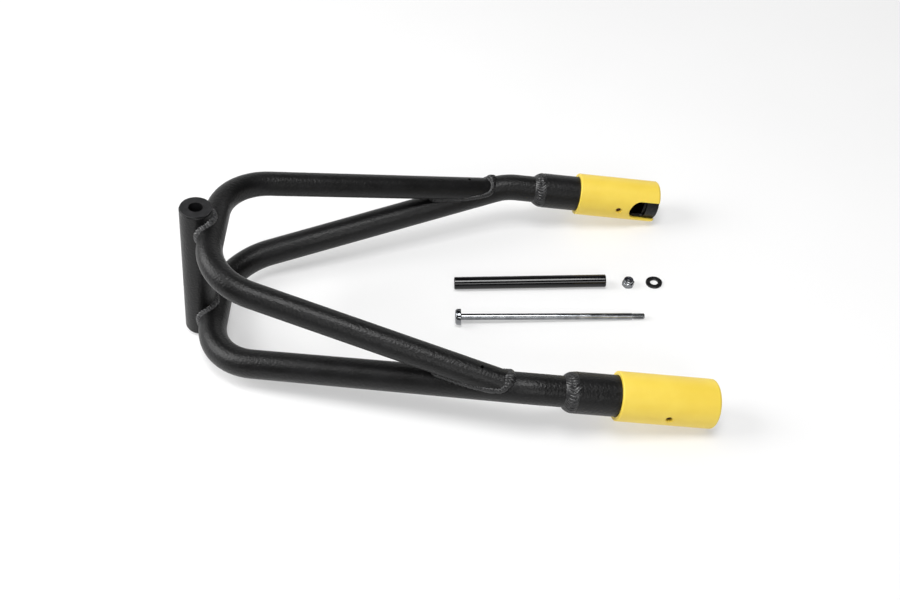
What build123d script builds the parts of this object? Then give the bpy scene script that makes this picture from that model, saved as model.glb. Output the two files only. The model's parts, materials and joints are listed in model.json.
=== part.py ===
from build123d import *
from math import asin, atan2, cos, hypot, radians, sin
import os

os.makedirs("parts", exist_ok=True)

# ---------------------------------------------------------------- driving dimensions, mm
# Lengths on the fork are measured in the fork's own frame: x from the pivot axis towards the
# two sockets, y to the side, z along the pivot. The near arm is at -y and the far arm at +y.

# pivot (head) tube and its flanged bushes
head_radius = 14.0
head_bore_radius = 10.0
head_length = 140.0
bush_bore_radius = 6.05
bush_flange_radius = 13.2
bush_flange_thickness = 1.2
bush_sleeve_length = 20.0
stack_length = head_length + 2 * bush_flange_thickness

# upper hoop: 22.2 mm tube, bent to a U around the pivot tube
upper_radius = 11.1
upper_wall = 2.0
upper_apex = (14.5, 50.2)
upper_corner_y = 61.9
upper_bend_radius = 53.0
vent_hole_radius = 1.5
vent_from_pivot = 244.6

# lower hoop: 25.4 mm tube, a U whose ends turn to run parallel to x
lower_radius = 12.7
lower_wall = 2.0
lower_apex = (14.3, -51.3)
lower_corner_y = 61.3
lower_bend_radius = 57.0
arm_kink_x = 280.5
arm_kink_bend_radius = 57.0
merge_x = 270.9

# sockets: 33.7 mm tube on the end of each arm
arm_y = 128.6
arm_z = 26.5
socket_radius = 16.85
socket_bore_radius = 14.25
socket_start = 319.0
socket_end = 432.8
weld_start = 308.5
weld_crown = (314.6, 15.9)
plug_end = 338.0
tube_engagement = 12.0
end_cap_start = 418.5
end_cap_end = 430.8

# ball pocket for a 20 mm ball on a neck of up to 12 mm
ball_x = 410.0
ball_seat_radius = 10.2
window_start = 399.0
window_end = 421.0
window_lowest_angle = -30.0
window_highest_angle = 122.0
window_corner_radius = 3.0

# sliding lock sleeve
sleeve_radius = 20.2
sleeve_bore_radius = 17.15
sleeve_length = 80.0
sleeve_start = socket_end - sleeve_length
sleeve_end_fillet = 2.5
sleeve_slot_width = 20.8
sleeve_slot_start = 404.0
sleeve_slot_edge_fillet = 0.5
sleeve_travel = 32.0

# cross pin, plunger and return spring inside each socket
pin_x = sleeve_start + sleeve_length / 2
pin_radius = 2.6
pin_length = 35.6
pin_slot_width = 6.2
dimple_radius = 3.5
dimple_depth = 0.6
plunger_radius = 14.2
plunger_start = 388.0
plunger_front = 401.5
spring_wire_radius = 1.0
spring_mean_radius = 10.5
spring_coils = 7

# loose pivot hardware, lying beside the fork
spacer_length = 142.6
spacer_radius = 6.0
spacer_bore_radius = 3.3
bolt_radius = 3.0
bolt_length = 166.8
bolt_thread_length = 11.0
bolt_thread_radius = 2.8
bolt_head_radius = 7.5
bolt_head_height = 5.4
bolt_dome_fillet = 2.6
bolt_rim_fillet = 0.4
bolt_hex_across_flats = 4.0
bolt_hex_depth = 3.0
nut_across_flats = 10.0
nut_height = 5.0
nut_collar_height = 2.6
nut_bore_radius = 2.5
nut_collar_radius = 4.5
insert_radius = 4.0
insert_bore_radius = 2.75
washer_radius = 7.6
washer_bore_radius = 3.6
washer_thickness = 1.6

# ---------------------------------------------------------------- how the fork stands
# The fork rests on the front rim of its lower bush flange and on the rounded outer ends of
# the two sleeves, so it is pitched about y until those points are level.
fillet_x = socket_end - sleeve_end_fillet
fillet_z = arm_z - (sleeve_radius - sleeve_end_fillet)
reach_x = fillet_x - bush_flange_radius
reach_z = fillet_z + stack_length / 2
tilt = atan2(reach_z, reach_x) - asin(sleeve_end_fillet / hypot(reach_x, reach_z))
floor_z = -bush_flange_radius * sin(tilt) - stack_length / 2 * cos(tilt)
fork = Plane(origin=(0, 0, 0), x_dir=(cos(tilt), 0, -sin(tilt)), z_dir=(sin(tilt), 0, cos(tilt)))


def pitched(x, y, z):
    """A point or direction given in the fork's frame, in the part's frame."""
    return fork.from_local_coords(Vector(x, y, z))


def socket_plane(x):
    """Plane across the far socket at x: its normal runs outwards, its x axis points inwards."""
    return Plane(origin=pitched(x, arm_y, arm_z), x_dir=(0, -1, 0), z_dir=pitched(1, 0, 0))


def socket_side_plane(x):
    """Plane along the far socket's axis at x: its normal points inwards, to the other arm."""
    return Plane(origin=pitched(x, arm_y, arm_z), x_dir=pitched(1, 0, 0), z_dir=(0, -1, 0))


def across_socket(angle):
    """Direction across the far socket, turned up by an angle in degrees from inwards."""
    return pitched(0, -cos(radians(angle)), sin(radians(angle)))


def leg_point(corner, target, x):
    """The point at x on the straight line from a hoop's corner to its target."""
    share = (x - corner[0]) / (target[0] - corner[0])
    return tuple(a + share * (b - a) for a, b in zip(corner, target))


def both_sides(point):
    """A fork point on the near side and its mirror image on the far side."""
    x, y, z = point
    return pitched(x, -y, z), pitched(x, y, z)


# ---------------------------------------------------------------- pivot tube and bushes
with BuildPart() as head_tube:
    with BuildSketch(fork.offset(-head_length / 2)):
        Circle(head_radius)
        Circle(head_bore_radius, mode=Mode.SUBTRACT)
    extrude(amount=head_length)
    outer_rims = head_tube.edges().filter_by(GeomType.CIRCLE).sort_by(SortBy.RADIUS)[-2:]
    chamfer(outer_rims, length=0.6)
head_tube.part.label = "head_tube"
export_step(head_tube.part, "parts/head_tube.step")


def flanged_bush(face_plane):
    """A flanged bush whose flange lies on face_plane and whose sleeve goes in behind it."""
    with BuildPart() as bush:
        with BuildSketch(face_plane):
            Circle(bush_flange_radius)
        extrude(amount=bush_flange_thickness)
        with BuildSketch(face_plane):
            Circle(head_bore_radius)
        extrude(amount=-bush_sleeve_length)
        with BuildSketch(face_plane.offset(bush_flange_thickness)):
            Circle(bush_bore_radius)
        extrude(amount=-bush_flange_thickness - bush_sleeve_length, mode=Mode.SUBTRACT)
    return bush


top_face = fork.offset(head_length / 2)
bottom_face = Plane(
    origin=pitched(0, 0, -head_length / 2), x_dir=pitched(1, 0, 0), z_dir=pitched(0, 0, -1)
)

upper_bush = flanged_bush(top_face)
upper_bush.part.label = "upper_bush"
export_step(upper_bush.part, "parts/upper_bush.step")

lower_bush = flanged_bush(bottom_face)
lower_bush.part.label = "lower_bush"
export_step(lower_bush.part, "parts/lower_bush.step")

# ---------------------------------------------------------------- hoops
lower_corner = (lower_apex[0], lower_corner_y, lower_apex[1])
arm_kink = (arm_kink_x, arm_y, arm_z)
arm_end = (socket_start + tube_engagement, arm_y, arm_z)
lower_near_corner, lower_far_corner = both_sides(lower_corner)
near_kink, far_kink = both_sides(arm_kink)
near_end, far_end = both_sides(arm_end)
lower_route = [near_end, near_kink, lower_near_corner, lower_far_corner, far_kink, far_end]
lower_bends = [
    arm_kink_bend_radius,
    lower_bend_radius,
    lower_bend_radius,
    arm_kink_bend_radius,
]

# the lower hoop's outside, kept solid to cope the upper hoop's ends
with BuildPart() as lower_outside:
    with BuildLine() as lower_path:
        FilletPolyline(*lower_route, radius=lower_bends)
    with BuildSketch(Plane(origin=lower_path.line @ 0, z_dir=lower_path.line % 0)):
        Circle(lower_radius)
    sweep()

with BuildPart() as lower_inside:
    with BuildLine():
        FilletPolyline(*lower_route, radius=lower_bends)
    with BuildSketch(Plane(origin=lower_path.line @ 0, z_dir=lower_path.line % 0)):
        Circle(lower_radius - lower_wall)
    sweep()

with BuildPart() as lower_hoop:
    add(lower_outside.part)
    add(lower_inside.part, mode=Mode.SUBTRACT)
    with BuildSketch(fork.offset(-head_length / 2)):
        Circle(head_radius)
    extrude(amount=head_length, mode=Mode.SUBTRACT)
lower_hoop.part.label = "lower_hoop"
export_step(lower_hoop.part, "parts/lower_hoop.step")

upper_corner = (upper_apex[0], upper_corner_y, upper_apex[1])
upper_target = leg_point(lower_corner, arm_kink, merge_x)
upper_near_corner, upper_far_corner = both_sides(upper_corner)
near_merge, far_merge = both_sides(upper_target)
vents = both_sides(leg_point(upper_corner, upper_target, vent_from_pivot))

with BuildPart() as upper_hoop:
    with BuildLine() as upper_path:
        FilletPolyline(
            near_merge, upper_near_corner, upper_far_corner, far_merge, radius=upper_bend_radius
        )
    with BuildSketch(Plane(origin=upper_path.line @ 0, z_dir=upper_path.line % 0)):
        Circle(upper_radius)
        Circle(upper_radius - upper_wall, mode=Mode.SUBTRACT)
    sweep()
    for vent in vents:
        with BuildSketch(Plane(origin=vent, z_dir=(0, 0, 1))):
            Circle(vent_hole_radius)
        extrude(amount=2 * upper_radius, mode=Mode.SUBTRACT)
    with BuildSketch(fork.offset(-head_length / 2)):
        Circle(head_radius)
    extrude(amount=head_length, mode=Mode.SUBTRACT)
    add(lower_outside.part, mode=Mode.SUBTRACT)
upper_hoop.part.label = "upper_hoop"
export_step(upper_hoop.part, "parts/upper_hoop.step")

# ---------------------------------------------------------------- far socket
far_pieces = {}
socket_axis = Axis(origin=pitched(0, arm_y, arm_z), direction=pitched(1, 0, 0))

# ball window: from just below the inward side, over the top, to the outer shoulder
cutter_inner = 8.0
cutter_outer = 20.0
cutter_side = across_socket(window_lowest_angle)
cutter_plane = Plane(
    origin=pitched((window_start + window_end) / 2, arm_y, arm_z),
    x_dir=socket_axis.direction,
    z_dir=socket_axis.direction.cross(cutter_side),
)
with BuildPart() as window_cutter:
    with BuildSketch(cutter_plane):
        with Locations((0, (cutter_inner + cutter_outer) / 2)):
            Rectangle(window_end - window_start, cutter_outer - cutter_inner)
    revolve(axis=socket_axis.reverse(), revolution_arc=window_highest_angle - window_lowest_angle)
    straight_edges = window_cutter.edges().filter_by(GeomType.LINE)
    fillet(straight_edges.filter_by(socket_axis, reverse=True), radius=window_corner_radius)

# the cross pin runs along the pin slots as the sleeve is drawn back
pin_slot_middle = pin_x - sleeve_travel / 2
with BuildPart() as socket_tube:
    with BuildSketch(socket_plane(socket_start)):
        Circle(socket_radius)
        Circle(socket_bore_radius, mode=Mode.SUBTRACT)
    extrude(amount=socket_end - socket_start)
    chamfer(socket_tube.faces().sort_by(socket_axis)[-1].outer_wire().edges(), length=0.8)
    with BuildSketch(socket_side_plane(pin_slot_middle)):
        SlotCenterToCenter(sleeve_travel, pin_slot_width)
    extrude(amount=sleeve_radius, both=True, mode=Mode.SUBTRACT)
    add(window_cutter.part, mode=Mode.SUBTRACT)
far_pieces["socket_tube"] = socket_tube

# weld bead that fills the step from the hoop tube up to the socket tube
bead_plane = Plane(
    origin=pitched(0, arm_y, arm_z), x_dir=socket_axis.direction, z_dir=pitched(0, -1, 0)
)
with BuildPart() as socket_weld:
    with BuildSketch(bead_plane):
        with BuildLine():
            ThreePointArc((weld_start, lower_radius), weld_crown, (socket_start, socket_radius))
            Line((socket_start, socket_radius), (socket_start, lower_radius))
            Line((socket_start, lower_radius), (weld_start, lower_radius))
        make_face()
    revolve(axis=socket_axis)
far_pieces["socket_weld"] = socket_weld

# plug that joins the hoop tube to the socket tube and carries the spring
with BuildPart() as socket_plug:
    with BuildSketch(socket_plane(socket_start)):
        Circle(socket_bore_radius)
    extrude(amount=plug_end - socket_start)
    with BuildSketch(socket_plane(socket_start)):
        Circle(lower_radius)
    extrude(amount=tube_engagement, mode=Mode.SUBTRACT)
far_pieces["socket_plug"] = socket_plug

ball_centre = pitched(ball_x, arm_y, arm_z)
with BuildPart() as ball_space:
    with BuildSketch(Plane(origin=ball_centre, x_dir=(0, 1, 0), z_dir=pitched(0, 0, 1))):
        with BuildLine():
            CenterArc((0, 0), ball_seat_radius, 90, 180)
            Line((0, -ball_seat_radius), (0, ball_seat_radius))
        make_face()
    revolve(axis=Axis(origin=ball_centre, direction=socket_axis.direction))

with BuildPart() as end_cap:
    with BuildSketch(socket_plane(end_cap_start)):
        Circle(socket_bore_radius)
    extrude(amount=end_cap_end - end_cap_start)
    add(ball_space.part, mode=Mode.SUBTRACT)
far_pieces["end_cap"] = end_cap

with BuildPart() as plunger:
    with BuildSketch(socket_plane(plunger_start)):
        Circle(plunger_radius)
    extrude(amount=plunger_front - plunger_start)
    with BuildSketch(socket_side_plane(pin_x)):
        Circle(pin_radius)
    extrude(amount=sleeve_radius, both=True, mode=Mode.SUBTRACT)
    add(ball_space.part, mode=Mode.SUBTRACT)
far_pieces["plunger"] = plunger

with BuildPart() as cross_pin:
    with BuildSketch(socket_side_plane(pin_x)):
        Circle(pin_radius)
    extrude(amount=pin_length / 2, both=True)
    chamfer(cross_pin.edges().filter_by(GeomType.CIRCLE), length=0.4)
far_pieces["cross_pin"] = cross_pin

spring_height = plunger_start - plug_end - 2 * spring_wire_radius
with BuildPart() as return_spring:
    with BuildLine() as coil:
        Helix(
            pitch=spring_height / spring_coils,
            height=spring_height,
            radius=spring_mean_radius,
            center=pitched(plug_end + spring_wire_radius, arm_y, arm_z),
            direction=socket_axis.direction,
        )
    with BuildSketch(Plane(origin=coil.line @ 0, z_dir=coil.line % 0)):
        Circle(spring_wire_radius)
    sweep(is_frenet=True)
far_pieces["return_spring"] = return_spring

# sliding sleeve with a U slot, open at its outer end, that closes over the ball's neck
slot_round_x = sleeve_slot_start + sleeve_slot_width / 2
slot_reach = 30.0
with BuildPart() as lock_sleeve:
    with BuildSketch(socket_plane(sleeve_start)):
        Circle(sleeve_radius)
        Circle(sleeve_bore_radius, mode=Mode.SUBTRACT)
    extrude(amount=sleeve_length)
    outer_end = lock_sleeve.faces().sort_by(socket_axis)[-1].outer_wire().edges()
    inner_end = lock_sleeve.faces().sort_by(socket_axis)[0].outer_wire().edges()
    fillet(outer_end, radius=sleeve_end_fillet)
    fillet(inner_end, radius=0.8)
    with BuildSketch(socket_side_plane(slot_round_x)):
        Circle(sleeve_slot_width / 2)
        with Locations((slot_reach / 2, 0)):
            Rectangle(slot_reach, sleeve_slot_width)
    extrude(amount=slot_reach, mode=Mode.SUBTRACT)
    fillet(lock_sleeve.edges(Select.LAST), radius=sleeve_slot_edge_fillet)
    with BuildSketch(socket_side_plane(pin_x)):
        Circle(pin_radius)
    extrude(amount=slot_reach, both=True, mode=Mode.SUBTRACT)
    for side in (-1, 1):
        with BuildSketch(socket_side_plane(pin_x).offset(side * (sleeve_radius - dimple_depth))):
            Circle(dimple_radius)
        extrude(amount=side * slot_reach, mode=Mode.SUBTRACT)
far_pieces["lock_sleeve"] = lock_sleeve

# the near socket is the far one mirrored, so both slots face inwards
for name, far_piece in far_pieces.items():
    far_piece.part.label = "far_" + name
    export_step(far_piece.part, f"parts/far_{name}.step")
    with BuildPart() as near_piece:
        mirror(far_piece.part, about=Plane.XZ)
    near_piece.part.label = "near_" + name
    export_step(near_piece.part, f"parts/near_{name}.step")

# ---------------------------------------------------------------- loose pivot hardware
# Everything lies on the same surface as the fork, between its arms.
spacer_end = (226.5, 36.6)
spacer_turn = -1.9
bolt_end = (225.9, -9.3)
bolt_turn = -1.2
nut_place = (390.5, 30.9)
washer_place = (415.0, 32.1)


def lying_plane(place, turn, height, droop=0.0):
    """Plane across a rod that lies along x, turned in plan and drooping, its end at a height."""
    run = cos(droop)
    direction = (cos(radians(turn)) * run, sin(radians(turn)) * run, -sin(droop))
    return Plane(origin=(*place, floor_z + height), z_dir=direction)


spacer_plane = lying_plane(spacer_end, spacer_turn, spacer_radius)
with BuildPart() as pivot_spacer:
    with BuildSketch(spacer_plane):
        Circle(spacer_radius)
        Circle(spacer_bore_radius, mode=Mode.SUBTRACT)
    extrude(amount=spacer_length)
    rims = pivot_spacer.edges().filter_by(GeomType.CIRCLE)
    chamfer(rims.sort_by(SortBy.RADIUS)[-2:], length=0.5)
pivot_spacer.part.label = "pivot_spacer"
export_step(pivot_spacer.part, "parts/pivot_spacer.step")

# the bolt lies on the rim of its head and the end of its shank
head_rim = bolt_head_height - bolt_rim_fillet
bolt_run = bolt_head_height + bolt_length - head_rim
bolt_droop = atan2(bolt_head_radius - bolt_thread_radius, bolt_run)
bolt_height = head_rim * sin(bolt_droop) + bolt_head_radius * cos(bolt_droop)
bolt_plane = lying_plane(bolt_end, bolt_turn, bolt_height, bolt_droop)
with BuildPart() as pivot_bolt:
    with BuildSketch(bolt_plane):
        Circle(bolt_head_radius)
    extrude(amount=bolt_head_height)
    head_edges = pivot_bolt.edges().filter_by(GeomType.CIRCLE).sort_by(Axis.X)
    fillet(head_edges[0], radius=bolt_dome_fillet)
    fillet(head_edges[-1], radius=bolt_rim_fillet)
    with BuildSketch(bolt_plane.offset(bolt_head_height)):
        Circle(bolt_radius)
    extrude(amount=bolt_length - bolt_thread_length)
    with BuildSketch(bolt_plane.offset(bolt_head_height + bolt_length - bolt_thread_length)):
        Circle(bolt_thread_radius)
    extrude(amount=bolt_thread_length)
    with BuildSketch(bolt_plane):
        RegularPolygon(bolt_hex_across_flats / 2, 6, major_radius=False)
    extrude(amount=bolt_hex_depth, mode=Mode.SUBTRACT)
pivot_bolt.part.label = "pivot_bolt"
export_step(pivot_bolt.part, "parts/pivot_bolt.step")

# the nut lies on its back with its nylon ring up
nut_plane = Plane(origin=(*nut_place, floor_z))
with BuildPart() as lock_nut:
    with BuildSketch(nut_plane):
        RegularPolygon(nut_across_flats / 2, 6, major_radius=False)
    extrude(amount=nut_height)
    with BuildSketch(nut_plane.offset(nut_height)):
        Circle(nut_collar_radius)
    extrude(amount=nut_collar_height)
    with BuildSketch(nut_plane):
        Circle(nut_bore_radius)
    extrude(amount=nut_height, mode=Mode.SUBTRACT)
    with BuildSketch(nut_plane.offset(nut_height)):
        Circle(insert_radius)
    extrude(amount=nut_collar_height, mode=Mode.SUBTRACT)
lock_nut.part.label = "lock_nut"
export_step(lock_nut.part, "parts/lock_nut.step")

with BuildPart() as nut_insert:
    with BuildSketch(nut_plane.offset(nut_height)):
        Circle(insert_radius)
        Circle(insert_bore_radius, mode=Mode.SUBTRACT)
    extrude(amount=nut_collar_height - 0.4)
nut_insert.part.label = "nut_insert"
export_step(nut_insert.part, "parts/nut_insert.step")

with BuildPart() as pivot_washer:
    with BuildSketch(Plane(origin=(*washer_place, floor_z))):
        Circle(washer_radius)
        Circle(washer_bore_radius, mode=Mode.SUBTRACT)
    extrude(amount=washer_thickness)
    fillet(pivot_washer.edges().filter_by(GeomType.CIRCLE), radius=0.2)
pivot_washer.part.label = "pivot_washer"
export_step(pivot_washer.part, "parts/pivot_washer.step")
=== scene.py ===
import json
import math
import random

import bmesh
import bpy
from mathutils import Matrix, Vector


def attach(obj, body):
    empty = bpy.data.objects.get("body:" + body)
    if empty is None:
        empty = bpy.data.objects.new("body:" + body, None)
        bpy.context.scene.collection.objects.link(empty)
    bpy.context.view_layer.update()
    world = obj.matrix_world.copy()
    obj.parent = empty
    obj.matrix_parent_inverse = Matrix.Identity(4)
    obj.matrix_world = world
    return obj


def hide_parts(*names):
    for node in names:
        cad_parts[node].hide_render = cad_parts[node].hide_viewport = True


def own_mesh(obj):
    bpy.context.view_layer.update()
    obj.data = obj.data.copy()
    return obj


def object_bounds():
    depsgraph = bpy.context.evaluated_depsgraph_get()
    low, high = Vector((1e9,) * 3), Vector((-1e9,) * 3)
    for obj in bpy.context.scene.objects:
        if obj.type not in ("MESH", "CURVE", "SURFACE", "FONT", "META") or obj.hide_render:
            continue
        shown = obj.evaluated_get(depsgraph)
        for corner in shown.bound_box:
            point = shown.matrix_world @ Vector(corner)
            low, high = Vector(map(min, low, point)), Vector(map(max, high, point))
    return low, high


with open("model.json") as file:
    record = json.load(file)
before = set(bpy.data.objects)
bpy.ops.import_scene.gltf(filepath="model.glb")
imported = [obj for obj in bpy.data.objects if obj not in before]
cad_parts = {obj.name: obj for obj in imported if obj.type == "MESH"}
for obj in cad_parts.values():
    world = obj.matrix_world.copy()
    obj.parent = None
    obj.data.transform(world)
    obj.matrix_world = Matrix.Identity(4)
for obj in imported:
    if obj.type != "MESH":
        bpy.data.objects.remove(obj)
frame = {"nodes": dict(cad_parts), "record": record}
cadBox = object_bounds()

scene = bpy.context.scene
nodes = frame["nodes"]
mounts = {mount["name"]: mount for mount in frame["record"]["mounts"]}
floorHeight = cadBox[0].z
mm = 0.001
fullTurn = 2 * math.pi
mergeDistance = 1e-4  # in mm, well under any real gap between points

# the fork's own frame in mm: x from the pivot to the sockets, y to the far side, z up the pivot
pivotAxis = Vector(mounts["pivot_bore"]["axis"]).normalized()
forkAxis = Vector((pivotAxis.z, 0, -pivotAxis.x))
forkTurn = Matrix((forkAxis, (0, 1, 0), pivotAxis)).transposed().to_4x4()
toRow = forkTurn @ Matrix.Scale(mm, 4)
farSocket = toRow.inverted() @ Vector(mounts["far_ball_socket"]["pos_m"])


def toLinear(hexColour):
    values = [int(hexColour[i : i + 2], 16) / 255 for i in (1, 3, 5)]
    return [v / 12.92 if v <= 0.04045 else ((v + 0.055) / 1.055) ** 2.4 for v in values] + [1]


def addNode(owner, kind, settings={}, links={}):
    # owner is a material or a world
    node = owner.node_tree.nodes.new("ShaderNode" + kind)
    for name, value in settings.items():
        node.inputs[name].default_value = value
    for name, (source, output) in links.items():
        owner.node_tree.links.new(source.outputs[output], node.inputs[name])
    return node


def makeMaterial(name, look):
    # a base colour that drifts a little, a roughness that drifts with it, and a fine grain
    material = bpy.data.materials.new(name)
    material.use_nodes = True
    tree = material.node_tree
    shader = tree.nodes["Principled BSDF"]
    for socket, value in look.get("shader", {}).items():
        shader.inputs[socket].default_value = value
    place = {"Vector": (addNode(material, "TexCoord"), "Object")}
    driftSettings = {"Scale": 1 / (look["driftMm"] * mm), "Detail": 3, "Roughness": 0.55}
    grainSettings = {"Scale": 1 / (look["grainMm"] * mm), "Detail": 2, "Roughness": 0.5}
    drift = addNode(material, "TexNoise", driftSettings, place)
    grain = addNode(material, "TexNoise", grainSettings, place)
    ramp = addNode(material, "ValToRGB", {}, {"Fac": (drift, "Fac")})
    first, last = ramp.color_ramp.elements
    first.position, last.position = 0.35, 0.65
    first.color, last.color = toLinear(look["dark"]), toLinear(look["light"])
    tree.links.new(ramp.outputs["Color"], shader.inputs["Base Color"])
    smoothest, roughest = look["rough"]
    roughSettings = {"From Min": 0.3, "From Max": 0.7, "To Min": smoothest, "To Max": roughest}
    rough = addNode(material, "MapRange", roughSettings, {"Value": (drift, "Fac")})
    tree.links.new(rough.outputs["Result"], shader.inputs["Roughness"])
    bumpSettings = {"Strength": look["bump"], "Distance": look["bumpMm"] * mm}
    bump = addNode(material, "Bump", bumpSettings, {"Height": (grain, "Fac")})
    tree.links.new(bump.outputs["Normal"], shader.inputs["Normal"])
    return material


# polyester powder coat, sprayed and baked: satin black with a fine orange-peel grain,
# drawn about twice as coarse as real so that it shows
powderLook = {
    "dark": "#090909", "light": "#0F0F10", "driftMm": 28, "grainMm": 1.9,
    "bump": 1.0, "bumpMm": 0.42, "rough": (0.37, 0.43), "shader": {"IOR": 1.37},
}
# the same coat over a weld, painted greyer than the coat as sheen for the light its rippled bead
# catches, and smoother where it flowed over the ripples
weldSheenLook = {
    "dark": "#2E2E2F", "light": "#4A4A4B", "driftMm": 4, "grainMm": 0.7,
    "bump": 0.5, "bumpMm": 0.12, "rough": (0.26, 0.36), "shader": {"IOR": 1.5},
}
# a darker copy of the weld coat, with less painted sheen, for the leg and socket welds
dimWeldSheenLook = {**weldSheenLook, "dark": "#131314", "light": "#262627", "rough": (0.28, 0.38)}
# injection-moulded nylon, coloured through: satin yellow with a soft spark-eroded grain
yellowLook = {
    "dark": "#EBCC4B", "light": "#F0D353", "driftMm": 30, "grainMm": 0.6,
    "bump": 0.16, "bumpMm": 0.06, "rough": (0.40, 0.50),
    "shader": {
        "IOR": 1.5, "Subsurface Weight": 0.06, "Subsurface Scale": 0.5,
        "Subsurface Radius": (0.004, 0.003, 0.001),
    },
}
# turned black acetal: smooth and slightly waxy
acetalLook = {
    "dark": "#1A1A1B", "light": "#222224", "driftMm": 9, "grainMm": 0.5,
    "bump": 0.12, "bumpMm": 0.04, "rough": (0.30, 0.40), "shader": {"IOR": 1.48},
}
# plunger of the same acetal, polished and greased by the ball
plungerLook = {
    "dark": "#0B0B0C", "light": "#121213", "driftMm": 7, "grainMm": 0.8,
    "bump": 0.08, "bumpMm": 0.04, "rough": (0.14, 0.24),
    "shader": {"IOR": 1.48, "Coat Weight": 0.4, "Coat Roughness": 0.08},
}
# plain steel rod left oiled in its hole: brown and dull
pinLook = {
    "dark": "#3A2219", "light": "#5B392B", "driftMm": 2.5, "grainMm": 0.3,
    "bump": 0.2, "bumpMm": 0.04, "rough": (0.34, 0.5), "shader": {"Metallic": 0.85},
}
# oil-tempered spring wire: grey, drawn smooth
wireLook = {
    "dark": "#77777A", "light": "#98989B", "driftMm": 6, "grainMm": 0.4,
    "bump": 0.1, "bumpMm": 0.03, "rough": (0.25, 0.36), "shader": {"Metallic": 1},
}
# bright zinc electroplate over rolled steel: mirror-like, with faint cloudiness
zincLook = {
    "dark": "#6C6E71", "light": "#8C8E91", "driftMm": 7, "grainMm": 0.5,
    "bump": 0.06, "bumpMm": 0.03, "rough": (0.12, 0.20), "shader": {"Metallic": 1},
}
# gloss black electrophoretic coat on a drawn tube: deep black, near-mirror, with slow waves
glossLook = {
    "dark": "#080809", "light": "#0C0C0E", "driftMm": 12, "grainMm": 3.0,
    "bump": 0.05, "bumpMm": 0.06, "rough": (0.06, 0.11), "shader": {"IOR": 1.4},
}
# stamped washer under the same coat, tumbled, so less mirror-like
washerLook = {
    "dark": "#0A0A0B", "light": "#121214", "driftMm": 4, "grainMm": 0.5,
    "bump": 0.15, "bumpMm": 0.04, "rough": (0.22, 0.32), "shader": {"IOR": 1.52},
}
# nylon locking ring: dark blue-grey, smooth and slightly milky
nylonLook = {
    "dark": "#23242C", "light": "#2E303A", "driftMm": 3, "grainMm": 0.4,
    "bump": 0.1, "bumpMm": 0.03, "rough": (0.32, 0.42),
    "shader": {"IOR": 1.53, "Subsurface Weight": 0.1, "Subsurface Scale": 0.001},
}
# painted studio floor: matt white, glowing a little so that its shadows stay pale
floorLook = {
    "dark": "#B6B6B6", "light": "#B9B9B9", "driftMm": 400, "grainMm": 4,
    "bump": 0.02, "bumpMm": 0.05, "rough": (0.75, 0.85),
    "shader": {"IOR": 1.45, "Emission Color": (1, 1, 1, 1), "Emission Strength": 0.42},
}

powderCoat = makeMaterial("satinPowderCoat", powderLook)
weldSheenCoat = makeMaterial("powderCoatOnWeldPaintedSheen", weldSheenLook)
dimWeldSheenCoat = makeMaterial("powderCoatOnWeldLessPaintedSheen", dimWeldSheenLook)
yellowNylon = makeMaterial("mouldedYellowNylon", yellowLook)
acetal = makeMaterial("turnedAcetal", acetalLook)
plungerAcetal = makeMaterial("greasedAcetal", plungerLook)
oiledSteel = makeMaterial("oiledSteel", pinLook)
springWire = makeMaterial("springWire", wireLook)
brightZinc = makeMaterial("brightZinc", zincLook)
glossCoat = makeMaterial("glossBlackCoat", glossLook)
washerCoat = makeMaterial("tumbledBlackCoat", washerLook)
darkNylon = makeMaterial("darkNylon", nylonLook)
floorPaint = makeMaterial("floorPaint", floorLook)
print("materials made")

bySlot = {
    "powder_coat": powderCoat, "bush_plastic": acetal, "yellow_plastic": yellowNylon,
    "plunger_plastic": plungerAcetal, "pin_steel": oiledSteel, "spring_steel": springWire,
    "plated_steel": brightZinc, "black_spacer": glossCoat, "nylon_insert": darkNylon,
    "black_washer": washerCoat,
}
for part in frame["record"]["subparts"]:
    held = nodes[part["node"]].data.materials
    held.clear()
    held.append(bySlot[part["material_slot"]])
print("CAD pieces painted")


def makePiece(name, bm, material, body, replaced=(), sharp=40, place=toRow):
    # sharp is in degrees; place takes the mesh from mm to where it lies
    bmesh.ops.remove_doubles(bm, verts=bm.verts, dist=mergeDistance)
    bmesh.ops.recalc_face_normals(bm, faces=bm.faces)
    mesh = bpy.data.meshes.new(name)
    bm.to_mesh(mesh)
    bm.free()
    mesh.transform(place)
    mesh.shade_smooth()
    mesh.set_sharp_from_angle(angle=math.radians(sharp))
    mesh.materials.append(material)
    piece = bpy.data.objects.new(name, mesh)
    scene.collection.objects.link(piece)
    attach(piece, body)
    if replaced:
        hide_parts(*replaced)
    return piece


def spinProfile(points, steps):
    # points are (along, radius) in mm; the profile turns about the x axis
    bm = bmesh.new()
    line = [bm.verts.new((along, radius, 0)) for along, radius in points]
    edges = [bm.edges.new(pair) for pair in zip(line, line[1:])]
    bmesh.ops.spin(
        bm, geom=line + edges, cent=(0, 0, 0), axis=(1, 0, 0), angle=fullTurn,
        steps=steps, use_merge=True,
    )
    bmesh.ops.remove_doubles(bm, verts=bm.verts, dist=mergeDistance)
    return bm


def windRidge(bm, corners, pitch, turns, perTurn):
    # a closed section, corners as (along, radius) in mm, wound round the x axis, its ends capped
    ring = [bm.verts.new((along, radius, 0)) for along, radius in corners]
    edges = [bm.edges.new((ring[i - 1], ring[i])) for i in range(len(ring))]
    made = bmesh.ops.spin(
        bm, geom=ring + edges, cent=(0, 0, 0), axis=(1, 0, 0), angle=fullTurn * turns,
        dvec=(pitch / perTurn, 0, 0), steps=round(turns * perTurn),
    )["geom_last"]
    lastEdges = [item for item in made if isinstance(item, bmesh.types.BMEdge)]
    bmesh.ops.holes_fill(bm, edges=edges + lastEdges, sides=0)


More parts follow.
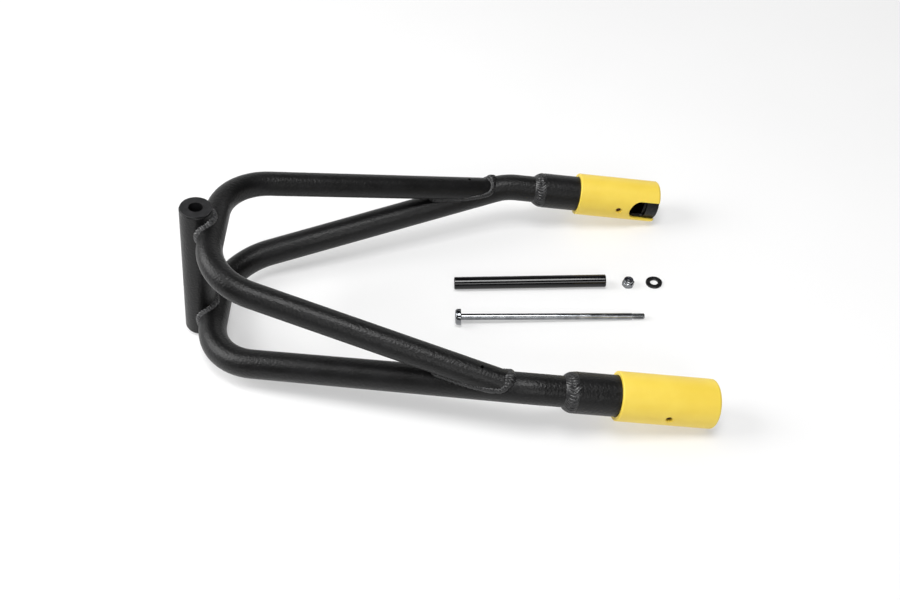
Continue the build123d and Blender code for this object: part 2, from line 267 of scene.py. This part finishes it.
def layBead(stations, section, ring=14):
    # a ring of points carried from station to station and back to the first;
    # section gives a point's (rise, run) in mm
    bm = bmesh.new()
    layer = bm.verts.layers.int.new("place")
    first = bmesh.ops.create_circle(bm, radius=1, segments=ring)["verts"]
    for i, vert in enumerate(first):
        vert[layer] = i

    def put(verts, station):
        travelled, point, along, out, swell = station
        side = along.cross(out)
        for vert in verts:
            rise, run = section(travelled, fullTurn * vert[layer] / ring, swell)
            vert.co = point + out * rise + side * run

    put(first, stations[0])
    firstEdges = list(dict.fromkeys(edge for vert in first for edge in vert.link_edges))
    edges = firstEdges
    for station in stations[1:]:
        made = bmesh.ops.extrude_edge_only(bm, edges=edges)["geom"]
        verts = {item for item in made if isinstance(item, bmesh.types.BMVert)}
        edges = [
            item for item in made
            if isinstance(item, bmesh.types.BMEdge) and all(vert in verts for vert in item.verts)
        ]
        put(verts, station)
    bmesh.ops.bridge_loops(bm, edges=firstEdges + edges)
    return bm


# weld beads on the hoops, sizes in mm; the tubes they follow are given by their centre lines
hoops = {
    "upper": {"apex": Vector((14.5, 0, 50.2)), "radius": 11.1},
    "lower": {"apex": Vector((14.3, 0, -51.3)), "radius": 12.7},
}
legs = {
    "upperCorner": Vector((14.5, 61.9, 50.2)), "lowerCorner": Vector((14.3, 61.3, -51.3)),
    "kink": Vector((280.5, 128.6, 26.5)), "mergeX": 270.9,
}
headRadius = 14.0
# pitch is the spacing of a bead's ripples, ripple their height, bow how far they curve forwards
headBeadLook = {
    "radius": 3.6, "pitch": 2.5, "ripple": 0.85, "perRipple": 8, "bow": 1.3, "wander": 0.4,
    "proud": 0.2,
}
legBeadLook = {
    "radius": 1.9, "pitch": 2.4, "ripple": 0.6, "perRipple": 8, "bow": 1.2, "wander": 0.3,
    "crotchLift": 4.5,
}
# a bead's section: share of its radius under the ripples, its height and its width
beadSection = {"body": 0.88, "height": 0.8, "width": 1.15, "variation": 0.12, "crestPower": 0.6}
# a leg's bead stops in a fat crater on top of the arm, where the two tubes run together
craterLook = {"swell": 1.2, "reach": 4.5, "angle": 105}


def evenStations(points, normals, swells, step):
    # closed curve cut into equal steps: (travelled, point, along, out, swell)
    count = len(points)
    lengths = [(points[(i + 1) % count] - points[i]).length for i in range(count)]
    total = sum(lengths)
    pieces = max(12, round(total / step))
    stations, i, passed = [], 0, 0.0
    for n in range(pieces):
        target = total * n / pieces
        while passed + lengths[i] < target:
            passed += lengths[i]
            i += 1
        share = (target - passed) / lengths[i]
        j = (i + 1) % count
        point = points[i].lerp(points[j], share)
        out = normals[i].lerp(normals[j], share)
        along = (points[j] - points[i]).normalized()
        out = (out - along * out.dot(along)).normalized()
        stations.append((target, point, along, out, swells[i] * (1 - share) + swells[j] * share))
    return stations, total


def beadAlong(look, points, normals, offsets, swells, seed):
    # a weld bead along a closed seam, raised by offsets and fattened by swells
    dice = random.Random(seed)
    seam = [p + n * o for p, n, o in zip(points, normals, offsets)]
    stations, total = evenStations(seam, normals, swells, look["pitch"] / look["perRipple"])
    ripples = max(6, round(total / look["pitch"]))
    pitch = total / ripples
    size = [1 + dice.uniform(-1, 1) * beadSection["variation"] for n in range(ripples)]
    sway = [dice.uniform(-1, 1) * look["wander"] for n in range(ripples)]

    def section(travelled, angle, swell):
        # each ripple is a crescent that bows forwards at the crown
        bowed = travelled / pitch - look["bow"] * (1 - math.cos(angle)) / 2
        n, share = math.floor(bowed) % ripples, bowed % 1
        blend = share * share * (3 - 2 * share)
        big = size[n] * (1 - blend) + size[(n + 1) % ripples] * blend
        off = sway[n] * (1 - blend) + sway[(n + 1) % ripples] * blend
        crest = math.sin(math.pi * share) ** beadSection["crestPower"] * look["ripple"]
        radius = (look["radius"] * big * beadSection["body"] + crest) * swell
        rise = radius * math.cos(angle) * beadSection["height"]
        return rise, radius * math.sin(angle) * beadSection["width"] + off

    return layBead(stations, section)


def headSeam(hoop, samples=220):
    # the closed curve where a hoop's bow, a tube along y, is coped onto the pivot tube
    apex, radius = hoop["apex"], hoop["radius"]
    edge = math.acos((headRadius - apex.x) / radius)
    points, normals = [], []
    for n in range(samples):
        turn = fullTurn * n / samples
        angle = math.pi + (math.pi - edge) * math.cos(turn)
        x = apex.x + radius * math.cos(angle)
        y = math.sqrt(max(headRadius**2 - x * x, 0)) * (1 if math.sin(turn) >= 0 else -1)
        onHead = Vector((x, y, 0)).normalized()
        onHoop = Vector((math.cos(angle), 0, math.sin(angle)))
        points.append(Vector((x, y, apex.z + radius * math.sin(angle))))
        normals.append((onHead + onHoop).normalized())
    return points, normals


def squareTo(vector, axis):
    # what is left of the vector when its run along the axis is taken away
    return vector - axis * vector.dot(axis)


def legSeam(side, samples=260):
    # the closed curve where an upper leg is coped onto the lower leg
    lowerStart, kink, upperStart = legs["lowerCorner"], legs["kink"], legs["upperCorner"]
    upperRadius, lowerRadius = hoops["upper"]["radius"], hoops["lower"]["radius"]
    lowerRun = kink - lowerStart
    lowerAlong = lowerRun.normalized()
    merge = lowerStart + lowerRun * (legs["mergeX"] - lowerStart.x) / lowerRun.x
    upperAlong = (merge - upperStart).normalized()
    across = upperAlong.cross(lowerAlong).normalized()
    up = across.cross(upperAlong)
    flatRun = squareTo(upperAlong, lowerAlong)
    crater = math.radians(craterLook["angle"])
    points, normals, offsets, swells = [], [], [], []
    for n in range(samples):
        # a line along the upper leg's skin meets the lower leg's skin where a quadratic is zero
        angle = fullTurn * n / samples
        onUpper = across * math.cos(angle) + up * math.sin(angle)
        start = upperStart + onUpper * upperRadius
        flatGap = squareTo(start - lowerStart, lowerAlong)
        a, b = flatRun.dot(flatRun), 2 * flatGap.dot(flatRun)
        c = flatGap.dot(flatGap) - lowerRadius**2
        reach = (-b - math.sqrt(max(b * b - 4 * a * c, 0))) / (2 * a)
        point = start + upperAlong * reach
        onLower = squareTo(point - lowerStart, lowerAlong).normalized()
        points.append(point)
        normals.append((onUpper + onLower).normalized())
        # in the narrow crotch the bead sits further out, where it touches both tubes
        tight = max(0.0, -onUpper.dot(onLower))
        offsets.append(legBeadLook["crotchLift"] * tight**2)
        # the crater sits where the seam crosses the top of the leg, a little to its inner side
        fromCrater = abs((angle - crater + math.pi) % fullTurn - math.pi) * upperRadius
        fade = math.exp(-((fromCrater / craterLook["reach"]) ** 2))
        swells.append(1 + craterLook["swell"] * fade)
    if side < 0:
        points = [Vector((p.x, -p.y, p.z)) for p in points]
        normals = [Vector((v.x, -v.y, v.z)) for v in normals]
    return points, normals, offsets, swells


for name, seed in (("upper", 3), ("lower", 8)):
    points, normals = headSeam(hoops[name])
    offsets, swells = [headBeadLook["proud"]] * len(points), [1] * len(points)
    bead = beadAlong(headBeadLook, points, normals, offsets, swells, seed)
    makePiece(name + "_head_weld", bead, weldSheenCoat, "fork", sharp=60)
for name, side, seed in (("far", 1, 14), ("near", -1, 21)):
    bead = beadAlong(legBeadLook, *legSeam(side), seed)
    makePiece(name + "_leg_weld", bead, dimWeldSheenCoat, "fork", sharp=60)
print("hoop welds laid")

# fat weld that climbs from the arm's tube onto the socket tube: start, crown and end are
# (along, radius) places on its arc, and its ripples are spaced by pitch at pitchRadius
socketWeldLook = {
    "start": (308.5, 12.7), "crown": (314.6, 15.9), "end": (319.0, 16.85),
    "seatRadius": 12.6, "arcPoints": 14, "steps": 360,
    "pitch": 2.7, "pitchRadius": 15, "height": 1.0, "bow": 1.6, "variation": 0.35,
    "crestPower": 0.7, "flankPower": 0.5,
}


def arcThrough(a, b, c, count):
    # points on the circle through three (x, y) points
    ax, ay, bx, by, cx, cy = *a, *b, *c
    aa, bb, cc = ax**2 + ay**2, bx**2 + by**2, cx**2 + cy**2
    d = 2 * (ax * (by - cy) + bx * (cy - ay) + cx * (ay - by))
    middleX = (aa * (by - cy) + bb * (cy - ay) + cc * (ay - by)) / d
    middleY = (aa * (cx - bx) + bb * (ax - cx) + cc * (bx - ax)) / d
    radius = math.hypot(ax - middleX, ay - middleY)
    first = math.atan2(ay - middleY, ax - middleX)
    last = math.atan2(cy - middleY, cx - middleX)
    angles = [first + (last - first) * n / count for n in range(count + 1)]
    return [(middleX + radius * math.cos(t), middleY + radius * math.sin(t)) for t in angles]


def rippleSocketWeld(bm, look, seed):
    # crescents round the weld, each a little different in height, fading out at its two toes
    dice = random.Random(seed)
    startX, endX = look["start"][0], look["end"][0]
    ripples = round(fullTurn * look["pitchRadius"] / look["pitch"])
    size = [1 + dice.uniform(-1, 1) * look["variation"] for n in range(ripples)]
    for vert in bm.verts:
        radius = math.hypot(vert.co.y, vert.co.z)
        if radius < look["seatRadius"] + 0.05:
            continue
        share = (vert.co.x - startX) / (endX - startX)
        turn = (math.atan2(vert.co.z, vert.co.y) / fullTurn) % 1
        bowed = turn * ripples - look["bow"] * 4 * share * (1 - share)
        n, part = math.floor(bowed) % ripples, bowed % 1
        crest = math.sin(math.pi * part) ** look["crestPower"]
        flank = math.sin(math.pi * min(max(share, 0.02), 0.98)) ** look["flankPower"]
        lift = look["height"] * (size[n] * crest * flank - 0.5)
        scale = (radius + lift) / radius
        vert.co.y *= scale
        vert.co.z *= scale


for name, side, seed in (("far", 1, 31), ("near", -1, 45)):
    look = socketWeldLook
    arc = arcThrough(look["start"], look["crown"], look["end"], look["arcPoints"])
    feet = [(look[end][0], look["seatRadius"]) for end in ("start", "end")]
    bm = spinProfile([feet[0], *arc, feet[1]], look["steps"])
    rippleSocketWeld(bm, look, seed)
    bmesh.ops.translate(bm, verts=bm.verts, vec=(0, side * farSocket.y, farSocket.z))
    makePiece(
        name + "_socket_weld_bead", bm, dimWeldSheenCoat, "fork",
        [name + "_socket_weld"], sharp=60,
    )
print("socket welds laid")

# return springs, wound at one fixed length, though the real ones shorten as a sleeve is drawn back
springLook = {
    "start": 339.0, "end": 387.0, "mean": 10.5, "wire": 1.0, "wireSides": 12,
    "coils": 7, "perTurn": 40, "plugFace": 338.0, "keep": 0.36,
}
for name, side in (("far", 1), ("near", -1)):
    look = springLook
    start, mean, wire = look["start"], look["mean"], look["wire"]
    angles = [fullTurn * n / look["wireSides"] for n in range(look["wireSides"])]
    corners = [(start + wire * math.cos(a), mean + wire * math.sin(a)) for a in angles]
    bm = bmesh.new()
    pitch = (look["end"] - start) / look["coils"]
    windRidge(bm, corners, pitch, look["coils"], look["perTurn"])
    bmesh.ops.translate(bm, verts=bm.verts, vec=(0, side * farSocket.y, farSocket.z))
    spring = makePiece(
        name + "_coil_spring", bm, springWire, "fork", [name + "_return_spring"]
    )
    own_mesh(spring)
print("springs wound")


def pushToHex(bm, along, radius, acrossFlats, limit=None):
    # the ring of points at that place takes a hexagon's outline, cut to a radius limit
    close = 1e-3
    for vert in bm.verts:
        found = math.hypot(vert.co.y, vert.co.z)
        if abs(vert.co.x - along) < close and abs(found - radius) < close:
            fromTop = math.atan2(vert.co.z, vert.co.y) - math.pi / 2
            outline = acrossFlats / 2 / math.cos(fromTop % (math.pi / 3) - math.pi / 6)
            scale = min(outline, limit or outline) / radius
            vert.co.y *= scale
            vert.co.z *= scale


def lieDown(x, y, height, *turns):
    # takes a shape in mm, made along x, to its place on the floor; a turn is (angle, axis)
    place = Matrix.Translation((x * mm, y * mm, floorHeight + height * mm))
    for angle, axis in turns:
        place = place @ Matrix.Rotation(angle, 4, axis)
    return place @ Matrix.Scale(mm, 4)


# floorRing and mouthRing are the rounds that become the hexagon socket; ridgeHalf is half the
# width of the thread's ridge at its foot, sunk under the root, and at its crest
boltLook = {
    "end": (225.9, -9.3), "turn": -1.2, "length": 166.8, "shank": 3.0, "fillet": 0.5,
    "headRadius": 7.5, "headHeight": 5.4, "dome": 2.6, "domeSteps": 8, "rim": 0.4, "rimSteps": 4,
    "socket": 4.0, "socketDepth": 3.0, "drillTip": 0.5, "floorRing": 2.1,
    "mouth": 2.6, "mouthDepth": 0.25, "mouthRing": 2.2,
    "thread": 11.0, "crest": 2.86, "root": 2.4, "pitch": 1.0, "ridgeHalf": (0.45, 0.08),
    "sunk": 0.1, "leadIn": 0.8, "neck": (0.3, 0.2), "tipChamfer": 0.5, "restRadius": 2.8,
    "steps": 48, "perTurn": 24,
}


def boltProfile(look):
    # from the bottom of the hexagon socket, over the domed head and along the shank to the tip
    headHeight, headRadius, shank, root = (
        look[key] for key in ("headHeight", "headRadius", "shank", "root")
    )
    dome, rim = look["dome"], look["rim"]
    tip = headHeight + look["length"]
    threadStart = tip - look["thread"]
    domeAngles = [
        math.pi / 2 * (1 - n / look["domeSteps"]) for n in range(look["domeSteps"] + 1)
    ]
    rimAngles = [math.pi / 2 * n / look["rimSteps"] for n in range(look["rimSteps"] + 1)]
    return [
        (look["socketDepth"] + look["drillTip"], 0), (look["socketDepth"], look["floorRing"]),
        (look["mouthDepth"], look["mouthRing"]), (0, look["mouth"]),
        *((dome - dome * math.sin(a), headRadius - dome + dome * math.cos(a)) for a in domeAngles),
        *(
            (headHeight - rim + rim * math.sin(a), headRadius - rim + rim * math.cos(a))
            for a in rimAngles
        ),
        (headHeight, shank + look["fillet"]), (headHeight + look["fillet"], shank),
        (threadStart - look["neck"][0], shank), (threadStart + look["neck"][1], root),
        (tip - look["tipChamfer"], root), (tip, root - look["tipChamfer"]), (tip, 0),
    ]


def makeBolt(look):
    # it rests on the rim of its head and the end of its shank
    tip = look["headHeight"] + look["length"]
    headRim = look["headHeight"] - look["rim"]
    droop = math.atan2(look["headRadius"] - look["restRadius"], tip - headRim)
    height = headRim * math.sin(droop) + look["headRadius"] * math.cos(droop)
    place = lieDown(*look["end"], height, (math.radians(look["turn"]), "Z"), (droop, "Y"))
    bm = spinProfile(boltProfile(look), look["steps"])
    pushToHex(bm, look["socketDepth"], look["floorRing"], look["socket"])
    pushToHex(bm, look["mouthDepth"], look["mouthRing"], look["socket"])
    start = tip - look["thread"] + look["leadIn"]
    foot, crown = look["ridgeHalf"]
    buried, crest = look["root"] - look["sunk"], look["crest"]
    ridge = [(-foot, buried), (-crown, crest), (crown, crest), (foot, buried)]
    corners = [(start + x, radius) for x, radius in ridge]
    turns = (look["thread"] - 2 * look["leadIn"]) / look["pitch"]
    windRidge(bm, corners, look["pitch"], turns, look["perTurn"])
    makePiece(
        "threaded_bolt", bm, brightZinc, "bolt", ["pivot_bolt"],
        sharp=32, place=place,
    )


makeBolt(boltLook)

# blank is the round that the hexagon is cut from, at the places in flanks; lip is the collar
# rolled in over the nylon ring, and ridge is the section of its thread
nutLook = {
    "place": (390.5, 30.9), "flats": 10.0, "height": 5.0, "blank": 6.0, "steps": 72,
    "flanks": (0.12, 0.25, 0.4, 0.55, 0.7, 0.9, 4.1, 4.3, 4.45, 4.6, 4.75, 4.88),
    "chamfer": 4.75, "chamferSlope": 1.45,
    "bore": 2.5, "mouth": 2.95, "mouthDepth": 0.4, "insert": 4.0,
    "collar": 4.5, "collarStart": 5.15, "collarEnd": 6.8,
    "lip": [(7.25, 4.38), (7.5, 4.15), (7.6, 3.85), (7.45, 3.75), (7.1, 3.95)],
    "ridge": [(-0.4, 2.6), (0, 2.3), (0.4, 2.6)], "ridgeStart": 0.9,
    "pitch": 0.8, "turns": 4, "perTurn": 24,
}
# the nylon ring inside the lip, its upper edge rounded over
ringLook = {
    "outline": [
        (5.05, 2.75), (5.05, 3.95), (7.0, 3.95), (7.15, 3.75),
        (7.12, 3.3), (6.9, 2.95), (6.5, 2.75), (5.05, 2.75),
    ],
    "steps": 48,
}


def makeNut(look, ringLook):
    # it lies on its back with its nylon ring up
    place = lieDown(*look["place"], 0, (-math.pi / 2, "Y"))
    height, bore = look["height"], look["bore"]
    flanks = [(along, look["blank"]) for along in look["flanks"]]
    profile = [
        (look["mouthDepth"], bore), (0, look["mouth"]), (0, look["chamfer"]), *flanks,
        (height, look["chamfer"]), (look["collarStart"], look["collar"]),
        (look["collarEnd"], look["collar"]), *look["lip"],
        (height, look["insert"]), (height, bore), (look["mouthDepth"], bore),
    ]
    bm = spinProfile(profile, look["steps"])
    for along, blank in flanks:
        limit = look["chamfer"] + look["chamferSlope"] * min(along, height - along)
        pushToHex(bm, along, blank, look["flats"], limit)
    corners = [(look["ridgeStart"] + x, radius) for x, radius in look["ridge"]]
    windRidge(bm, corners, look["pitch"], look["turns"], look["perTurn"])
    makePiece(
        "hex_lock_nut", bm, brightZinc, "nut", ["lock_nut"], sharp=30, place=place
    )
    bm = spinProfile(ringLook["outline"], ringLook["steps"])
    makePiece(
        "nylon_ring", bm, darkNylon, "nut", ["nut_insert"], sharp=50, place=place
    )


makeNut(nutLook, ringLook)
print("bolt and nut made")

# floor, lights and camera, in metres
bm = bmesh.new()
bmesh.ops.create_grid(bm, x_segments=8, y_segments=8, size=20)
mesh = bpy.data.meshes.new("studioFloor")
bm.to_mesh(mesh)
bm.free()
mesh.transform(Matrix.Translation((0.2, 0, floorHeight)))
mesh.materials.append(floorPaint)
floor = bpy.data.objects.new("studioFloor", mesh)
scene.collection.objects.link(floor)

lightTarget = Vector((0.2, 0, 0))
lights = {
    "topBox": {"size": (0.8, 0.8), "watts": 28, "place": (0.25, -0.35, 1.9)},
    "leftBox": {"size": (1.4, 1.4), "watts": 44, "place": (-1.6, 0.2, 1.2)},
    "frontFill": {"size": (1.4, 0.6), "watts": 14, "place": (0.4, -2.0, 1.1)},
    "backWall": {"size": (5.0, 1.6), "watts": 25, "place": (0.2, 2.8, 1.0)},
}
for name, look in lights.items():
    lamp = bpy.data.lights.new(name, "AREA")
    lamp.shape = "RECTANGLE"
    lamp.size, lamp.size_y = look["size"]
    lamp.energy = look["watts"]
    light = bpy.data.objects.new(name, lamp)
    light.location = look["place"]
    light.rotation_euler = (lightTarget - light.location).to_track_quat("-Z", "Y").to_euler()
    scene.collection.objects.link(light)

# the room is dark to the object's reflections, and a pale backdrop to the camera
world = bpy.data.worlds.new("studio")
scene.world = world
world.use_nodes = True
room = world.node_tree.nodes["Background"]
room.inputs["Color"].default_value = (1, 1, 1, 1)
room.inputs["Strength"].default_value = 0.04
backdrop = addNode(world, "Background", {"Color": (0.9, 0.9, 0.9, 1), "Strength": 1.0})
ray = addNode(world, "LightPath")
# a Mix Shader's two shader sockets share a name, so its sockets are given by number
mix = addNode(
    world, "MixShader", {},
    {0: (ray, "Is Camera Ray"), 1: (room, "Background"), 2: (backdrop, "Background")},
)
worldOutput = world.node_tree.nodes["World Output"]
world.node_tree.links.new(mix.outputs["Shader"], worldOutput.inputs["Surface"])
scene.view_settings.view_transform = "Standard"

# angles in degrees, lens and sensor in mm
view = {
    "place": (0.22187, -0.59748, 0.55335), "azimuth": 3.799, "elevation": 44.996,
    "roll": -4.936, "lens": 37.0745, "sensor": 36, "shift": (0.04841, -0.003706),
    "clip": (0.01, 100),
}
azimuth, elevation, roll = (math.radians(view[key]) for key in ("azimuth", "elevation", "roll"))
back = Vector((
    math.sin(azimuth) * math.cos(elevation),
    -math.cos(azimuth) * math.cos(elevation),
    math.sin(elevation),
))
right = (-back).cross(Vector((0, 0, 1))).normalized()
up = right.cross(-back)
rolledRight = right * math.cos(roll) + up * math.sin(roll)
rolledUp = up * math.cos(roll) - right * math.sin(roll)
cameraTurn = Matrix((rolledRight, rolledUp, back)).transposed().to_4x4()
lens = bpy.data.cameras.new("camera")
lens.lens = view["lens"]
lens.sensor_width = view["sensor"]
lens.shift_x, lens.shift_y = view["shift"]
lens.clip_start, lens.clip_end = view["clip"]
camera = bpy.data.objects.new("camera", lens)
camera.matrix_world = Matrix.Translation(view["place"]) @ cameraTurn
scene.collection.objects.link(camera)
scene.camera = camera
print("floor, lights and camera placed")
